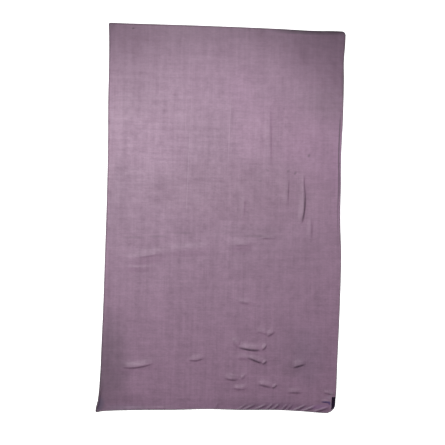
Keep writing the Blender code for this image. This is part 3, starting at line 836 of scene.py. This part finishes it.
def newMaterial(name, roughness, **constants):
    material = bpy.data.materials.new(name)
    material.use_nodes = True
    shader = material.node_tree.nodes["Principled BSDF"]
    shader.inputs["Roughness"].default_value = roughness
    for key, value in constants.items():
        shader.inputs[key.replace("_", " ")].default_value = value
    return material, material.node_tree, shader.inputs


def addBump(tree, height, strength, distance, shader):
    # strength is a share of the distance, in metres
    bump = tree.nodes.new("ShaderNodeBump")
    bump.inputs["Strength"].default_value = strength
    bump.inputs["Distance"].default_value = distance
    tree.links.new(height, bump.inputs["Height"])
    tree.links.new(bump.outputs["Normal"], shader["Normal"])


# Finishes: the silk's colours, its marks and its painted light and shade, with their places in the tables'
# millimetres
silkFinish = {
    "light": (0.316, 0.182, 0.281, 1),
    "dark": (0.216, 0.119, 0.191, 1),
    # painted shadow colour that the silk darkens to under its creases
    "paintedFoldShadow": (0.035, 0.016, 0.034, 1),
    "roughness": 0.5,
    "roughnessByTone": -0.12,
    "hemRoughnessByTone": -0.1,
    "specular": 0.6,
    "hemSpecular": 0.5,
    "hemSlub": 1.4,
    "toneMiddle": 0.5,
    "toneGain": 0.9,
    "bumpDistance": 0.00022,
    "bumpStrength": 0.7,
}
threadFinish = {
    "mauve": (0.215, 0.125, 0.192, 1),
    "roughness": 0.42,
    "twistScale": 2600,
    "shadowShare": 0.72,
    "bumpDistance": 0.00008,
    "bumpStrength": 0.5,
}
labelFinish = {
    "black": (0.008, 0.001, 0.013, 1),
    "sheen": (0.024, 0.006, 0.034, 1),
    "roughness": 0.6,
    "specular": 0.2,
    "pitch": 0.0007,
    "slub": 1.5,
    "toneMiddle": 0.35,
    "bumpDistance": 0.00025,
    "bumpStrength": 0.8,
}
markRow = namedtuple("markRow", "x y turn halfLength halfWidth colour amount")
paintedToneRow = namedtuple("paintedToneRow", "x y halfWidth halfLength factor")
paintedLightAndShade = [  # broad painted light and shade, lightening and darkening the silk and its hems
    paintedToneRow(-600, 930, 420, 520, (0.96, 0.90, 0.95)),
    paintedToneRow(590, 930, 480, 400, (0.80, 0.73, 0.80)),
    paintedToneRow(425, 882, 235, 21, (0.50, 0.48, 0.50)),
    paintedToneRow(575, 680, 28, 220, (0.50, 0.50, 0.50)),
    paintedToneRow(-560, 450, 110, 400, (1.11, 1.11, 1.10)),
    paintedToneRow(-540, 60, 140, 260, (0.93, 0.92, 0.93)),
    paintedToneRow(-560, -700, 190, 330, (0.66, 0.67, 0.67)),
    paintedToneRow(-578, -760, 62, 290, (0.76, 0.80, 0.78)),
    paintedToneRow(480, 300, 240, 220, (1.12, 1.10, 1.12)),
    paintedToneRow(260, 400, 260, 190, (1.10, 1.08, 1.09)),
    paintedToneRow(562, 230, 60, 330, (1.07, 1.05, 1.08)),
    paintedToneRow(60, 640, 520, 260, (1.07, 1.06, 1.07)),
    paintedToneRow(100, 120, 560, 200, (0.96, 0.94, 0.94)),
    paintedToneRow(260, -180, 300, 200, (0.96, 0.96, 0.96)),
    paintedToneRow(0, -905, 620, 70, (0.90, 0.89, 0.91)),
    paintedToneRow(320, -890, 300, 42, (0.74, 0.70, 0.77)),
    paintedToneRow(-300, 905, 330, 60, (1.08, 1.12, 1.08)),
    paintedToneRow(-328, 353, 230, 190, (1.10, 1.10, 1.10)),
    paintedToneRow(82, 596, 90, 130, (1.10, 1.10, 1.10)),
    paintedToneRow(346, -706, 60, 45, (0.85, 0.85, 0.85)),
    paintedToneRow(-387, -854, 70, 34, (0.86, 0.85, 0.86)),
    paintedToneRow(116, -857, 160, 30, (0.90, 0.90, 0.90)),
    paintedToneRow(343, -600, 110, 150, (0.92, 0.93, 0.93)),
    paintedToneRow(300, -846, 110, 44, (0.91, 0.91, 0.92)),
    paintedToneRow(89, 330, 90, 180, (1.07, 1.07, 1.07)),
    paintedToneRow(-562, -250, 26, 250, (0.89, 0.94, 0.91)),
    paintedToneRow(-550, 210, 60, 230, (1.07, 1.08, 1.06)),
    paintedToneRow(-576, -700, 30, 150, (0.86, 0.88, 0.87)),
    paintedToneRow(-420, -900, 130, 22, (0.88, 0.93, 0.93)),
    paintedToneRow(480, 30, 110, 120, (1.07, 1.07, 1.07)),
    paintedToneRow(142, -60, 190, 45, (0.93, 0.93, 0.93)),
    paintedToneRow(430, -640, 90, 190, (0.91, 0.94, 0.94)),
    paintedToneRow(480, 560, 150, 90, (0.93, 0.93, 0.93)),
    paintedToneRow(-546, 893, 36, 32, (0.84, 0.90, 0.86)),
]
# marks on the silk, and painted shade at the pulled corner and beside the label
silkMarksAndShade = [
    markRow(-550, -886, 1.2, 47, 35, (0.105, 0.074, 0.130, 1), 0.8),      # painted shade at the pulled corner
    markRow(514, -850, -0.03, 26, 6.5, (0.050, 0.028, 0.120, 1), 0.85),   # dark bluish patches beside the label, partly painted shade of a small fold and partly the label's end showing through, and lighter patches
    markRow(532, -856, -0.9, 13, 9, (0.060, 0.025, 0.150, 1), 0.7),
    markRow(537, -862, 1.65, 32, 4, (0.360, 0.300, 0.360, 1), 0.4),
    markRow(488, -872, 0.12, 60, 15, (0.270, 0.135, 0.285, 1), 0.5),
    markRow(540, -812, 0.0, 10, 15, (0.330, 0.270, 0.330, 1), 0.4),
    markRow(529, -828, 0.0, 14, 10, (0.330, 0.240, 0.330, 1), 0.45),
    markRow(408, 300, 0.9, 10, 8, (0.085, 0.045, 0.075, 1), 0.5),         # snags
    markRow(346, 216, 1.0, 11, 7, (0.085, 0.045, 0.075, 1), 0.45),
    markRow(-427, 875, 0.3, 8, 5, (0.085, 0.045, 0.075, 1), 0.7),
    markRow(313, 226, 0.5, 10, 6, (0.120, 0.070, 0.105, 1), 0.35),
    markRow(214, 228, 2.6, 12, 5, (0.120, 0.070, 0.105, 1), 0.35),
    markRow(183, 176, 0.4, 9, 6, (0.120, 0.070, 0.105, 1), 0.3),
    markRow(259, 112, 1.2, 7, 5, (0.120, 0.070, 0.105, 1), 0.3),
    markRow(-401, -101, 0.024, 60, 8.5, (0.150, 0.088, 0.132, 1), 0.32),  # an old fold line
    markRow(-291, -94, 0.024, 50, 8.5, (0.150, 0.088, 0.132, 1), 0.30),
    markRow(-174, -75, 0.024, 60, 8.5, (0.150, 0.088, 0.132, 1), 0.28),
    markRow(168, -82, 0.024, 60, 8.5, (0.150, 0.088, 0.132, 1), 0.32),
    markRow(34, 410, 1.548, 250, 3.0, (0.36, 0.24, 0.33, 1), 0.4),        # slubs of lighter warp
    markRow(-155, 222, 1.548, 300, 3.0, (0.36, 0.24, 0.33, 1), 0.4),
]


def addMask(tree, mark, vector, row, turn, halfLength, halfWidth):
    x, y = (np.array((row.x, row.y)) - middle) * mm
    return addGroup(tree, mark, Vector=vector, X=x, Y=y, Turn=turn, Half_Length=halfLength * mm,
                    Half_Width=halfWidth * mm)["Mask"]


# painted light and shade, multiplied into the colour
def addPaintedLightAndShade(tree, colour, vector, mark):
    for row in paintedLightAndShade:
        mask = addMask(tree, mark, vector, row, 0, row.halfWidth, row.halfLength)
        colour = addMix(tree, mask, colour, (*row.factor, 1), "MULTIPLY")
    return colour


def silkMaterial(yarn, mark):
    finish = silkFinish
    material, tree, shader = newMaterial("mauveSilk", finish["roughness"],
                                         Specular_IOR_Level=finish["specular"])
    vector = mapVector(tree)
    yarns = addGroup(tree, yarn, Vector=vector)
    amount = addMath(tree, "MULTIPLY_ADD", yarns["Tone"], finish["toneGain"], finish["toneMiddle"])
    colour = addMix(tree, amount, finish["dark"], finish["light"])
    # painted shade from the points' foldShade, darkening towards a near black
    deep = tree.nodes.new("ShaderNodeAttribute")
    deep.attribute_name = "foldShade"
    colour = addMix(tree, deep.outputs["Fac"], colour, finish["paintedFoldShadow"])
    colour = addPaintedLightAndShade(tree, colour, vector, mark)
    for row in silkMarksAndShade:
        mask = addMask(tree, mark, vector, row, row.turn, row.halfLength, row.halfWidth)
        colour = addMix(tree, addMath(tree, "MULTIPLY", mask, row.amount), colour, row.colour)
    tree.links.new(colour, shader["Base Color"])
    rough = addMath(tree, "MULTIPLY_ADD", yarns["Tone"], finish["roughnessByTone"], finish["roughness"])
    tree.links.new(rough, shader["Roughness"])
    addBump(tree, yarns["Height"], finish["bumpStrength"], finish["bumpDistance"], shader)
    return material


def hemMaterial(yarn, mark):
    finish = silkFinish
    material, tree, shader = newMaterial("mauveSilkHem", finish["roughness"],
                                         Specular_IOR_Level=finish["hemSpecular"])
    vector = mapVector(tree)
    yarns = addGroup(tree, yarn, Vector=vector, Slub=finish["hemSlub"])
    amount = addMath(tree, "MULTIPLY_ADD", yarns["Tone"], finish["toneGain"], finish["toneMiddle"])
    colour = addMix(tree, amount, finish["dark"], finish["light"])
    colour = addPaintedLightAndShade(tree, colour, vector, mark)
    # the rim's grey, its painted highlight and its painted shade, from the points
    tint = tree.nodes.new("ShaderNodeAttribute")
    tint.attribute_name = "rimTintAndShading"
    tree.links.new(addMix(tree, 1.0, colour, tint.outputs["Color"], "MULTIPLY"), shader["Base Color"])
    rough = addMath(tree, "MULTIPLY_ADD", yarns["Tone"], finish["hemRoughnessByTone"], finish["roughness"])
    tree.links.new(rough, shader["Roughness"])
    addBump(tree, yarns["Height"], finish["bumpStrength"], finish["bumpDistance"], shader)
    return material


def threadMaterial(name, colour):
    finish = threadFinish
    material, tree, shader = newMaterial(name, finish["roughness"])
    coordinates = tree.nodes.new("ShaderNodeTexCoord").outputs["Object"]
    twist = addNoise(tree, coordinates, (finish["twistScale"],) * 3, 1.0)
    darker = tuple(value * finish["shadowShare"] for value in colour[:3]) + (1,)
    tree.links.new(addMix(tree, twist, darker, colour), shader["Base Color"])
    addBump(tree, twist, finish["bumpStrength"], finish["bumpDistance"], shader)
    return material


def labelMaterial(yarn):
    finish = labelFinish
    material, tree, shader = newMaterial("blackLabelTape", finish["roughness"],
                                         Specular_IOR_Level=finish["specular"])
    yarns = addGroup(tree, yarn, Vector=mapVector(tree), Pitch=finish["pitch"], Slub=finish["slub"])
    amount = addMath(tree, "ADD", yarns["Tone"], finish["toneMiddle"])
    tree.links.new(addMix(tree, amount, finish["black"], finish["sheen"]), shader["Base Color"])
    addBump(tree, yarns["Height"], finish["bumpStrength"], finish["bumpDistance"], shader)
    return material


# Stage: a plain pale floor, a soft key high on the upper left, and the camera straight above
stage = {
    "floorSize": 80.0,              # wide enough to fill a view from low down
    "floorDrop": 0.0003,
    "floorColour": (0.93, 0.93, 0.93, 1),
    "floorRoughness": 0.9,
    "floorSpecular": 0.1,
    "floorGlow": 1.0,
    "spotRadius": 0.3,
    "worldColour": (1.0, 1.0, 1.0),
    "worldStrength": 0.05,
    "photoPixels": 445,
    "millimetresPerPixel": 4.675,
    "photoCentre": (220.6, 219.7),  # pixel of the photograph where the scarf's middle lies
    "turn": 1.35,                   # degrees that the scarf leans clockwise in the photograph
    "lens": 85.0,
    "sensor": 36.0,
}
spotRow = namedtuple("spotRow", "name place aim power cone edge")
areaRow = namedtuple("areaRow", "name place aim power size")
lights = [
    spotRow("keyLight", (-1.6, 1.2, 3.6), (-0.1, -0.1, 0), 270, 34, 0.6),
    spotRow("sheenLight", (-0.9, 0.9, 4.6), (0.0, -0.2, 0), 300, 34, 0.6),
    areaRow("farFill", (0.3, 1.6, 4.6), (0, 0, 0), 30, 1.2),
    areaRow("nearFill", (0.3, 0.6, 2.4), (0, 0, 0), 7, 1.2),
]


def makeStage():
    bpy.ops.object.select_all(action="DESELECT")
    bpy.ops.mesh.primitive_plane_add(size=stage["floorSize"], location=(0, 0, -stage["floorDrop"]))
    floor = bpy.context.object
    floor.name = "paleFloor"
    material, _, shader = newMaterial("paleFloor", stage["floorRoughness"],
                                      Specular_IOR_Level=stage["floorSpecular"])
    shader["Base Color"].default_value = stage["floorColour"]
    shader["Emission Color"].default_value = (1, 1, 1, 1)
    shader["Emission Strength"].default_value = stage["floorGlow"]
    floor.data.materials.append(material)
    floor.visible_diffuse = False  # its glow keeps the ground white and lights no cloth
    floor.visible_glossy = False
    world = bpy.data.worlds.new("softFill")
    world.use_nodes = True
    background = world.node_tree.nodes["Background"]
    background.inputs["Color"].default_value = (*stage["worldColour"], 1)
    background.inputs["Strength"].default_value = stage["worldStrength"]
    bpy.context.scene.world = world
    bpy.context.scene.view_settings.view_transform = "Standard"


def makeLights():
    # soft-edged spots and round area lights
    for row in lights:
        kind = "SPOT" if isinstance(row, spotRow) else "AREA"
        bpy.ops.object.light_add(type=kind, location=row.place)
        made = bpy.context.object
        made.name = row.name
        made.data.energy = row.power
        if kind == "SPOT":
            made.data.spot_size = math.radians(row.cone)
            made.data.spot_blend = row.edge
            made.data.shadow_soft_size = stage["spotRadius"]
        else:
            made.data.shape = "DISK"
            made.data.size = row.size
        away = made.location - Vector(row.aim)
        made.rotation_euler = away.to_track_quat("Z", "Y").to_euler()
        made.visible_camera = False


def makeCamera():
    # straight above, turned a little, and set off so that the scarf lies where the photograph has it
    turn = math.radians(stage["turn"])
    scale = stage["millimetresPerPixel"] * mm
    half = stage["photoPixels"] / 2
    centre = half - 0.5  # pixels are counted at their middles
    right = (centre - stage["photoCentre"][0]) * scale
    up = (stage["photoCentre"][1] - centre) * scale
    x = right * math.cos(turn) - up * math.sin(turn)
    y = right * math.sin(turn) + up * math.cos(turn)
    distance = half * scale / (stage["sensor"] / 2 / stage["lens"])
    bpy.ops.object.camera_add(location=(x, y, distance), rotation=(0, 0, turn))
    camera = bpy.context.object
    camera.data.lens = stage["lens"]
    camera.data.sensor_width = stage["sensor"]
    bpy.context.scene.camera = camera


makeStage()
makeLights()
makeCamera()
print("stage ready")

silkYarn = silkYarnGroup()
markAndShadingOval = markAndShadingGroup()
silk = silkMaterial(silkYarn, markAndShadingOval)
turnedSilk = hemMaterial(silkYarn, markAndShadingOval)
mauveThread = threadMaterial("mauveThread", threadFinish["mauve"])
blackThread = threadMaterial("blackThread", labelFinish["sheen"])
blackTape = labelMaterial(silkYarn)

silkPiece = makeSilkSheet()
silkPiece.data.materials.append(silk)
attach(silkPiece, "root")
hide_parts("panel")

edging = []
for index, node in enumerate(cloth["sides"]):
    hemPiece = makeHem(index)
    hemPiece.data.materials.append(turnedSilk)
    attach(hemPiece, "root")
    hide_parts(node)
    stitches = makeHemStitches(index)
    stitches.data.materials.append(mauveThread)
    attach(stitches, "root")
    edging += [hemPiece, stitches]
print("hems and stitches:", sum(len(piece.data.polygons) for piece in edging), "faces")

labelPiece = makeLabel()
labelPiece.data.materials.append(blackTape)
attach(labelPiece, "root")
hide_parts("care_label")
labelThread = makeLabelStitches()
labelThread.data.materials.append(blackThread)
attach(labelThread, "root")
print("label ready")
